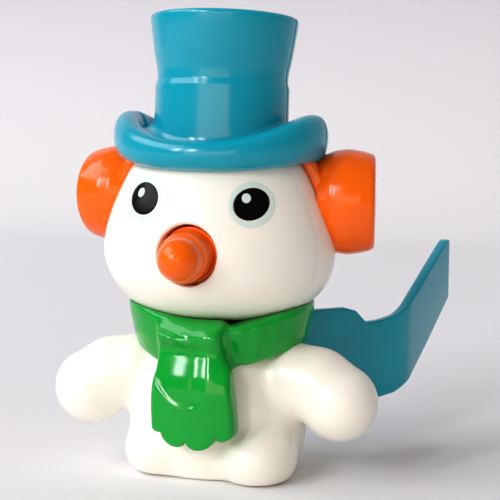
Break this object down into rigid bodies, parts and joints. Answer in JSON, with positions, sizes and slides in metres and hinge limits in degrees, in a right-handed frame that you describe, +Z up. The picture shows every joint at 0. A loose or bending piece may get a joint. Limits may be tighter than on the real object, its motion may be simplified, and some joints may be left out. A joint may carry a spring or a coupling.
{
  "type": "toy snowman figure",
  "caption": "Glossy moulded toy snowman in a top hat, ear muffs and scarf, with a carrot nose and a swinging lever at its back.",
  "frame": {"origin": "middle of the flat underside, on the surface that the figure stands on", "axes": "+Z up through the hat, -Y the way the face looks, +X towards the viewer's right when the face looks at the viewer"},
  "size_m": [0.0608, 0.0712, 0.0748],
  "materials": {
    "white_plastic": "injection-moulded gloss, white",
    "teal_plastic": "injection-moulded gloss, teal blue",
    "orange_plastic": "injection-moulded gloss, orange",
    "green_plastic": "injection-moulded gloss, green",
    "steel": "zinc-plated steel",
    "eye_black": "pad-printed ink, black",
    "eye_mint": "pad-printed ink, pale mint"
  },
  "bodies": {
    "figure": {"hat_front": "teal_plastic", "hat_back": "teal_plastic", "head_front": "white_plastic", "head_back": "white_plastic", "nose": "orange_plastic", "ear_band": "orange_plastic", "ear_muff_left": "orange_plastic", "ear_muff_right": "orange_plastic", "scarf": "green_plastic", "body_front": "white_plastic", "body_back": "white_plastic", "lever_pin": "steel", "back_screw_1": "steel", "back_screw_2": "steel"},
    "lever_arm": {"lever": "teal_plastic"}
  },
  "joints": [
    {"name": "lever_swing", "type": "hinge", "parent": "figure", "child": "lever_arm", "pos_m": [0, 0.006, 0.0134], "axis": [0, 0, 1], "range_deg": [0, 40]}
  ]
}
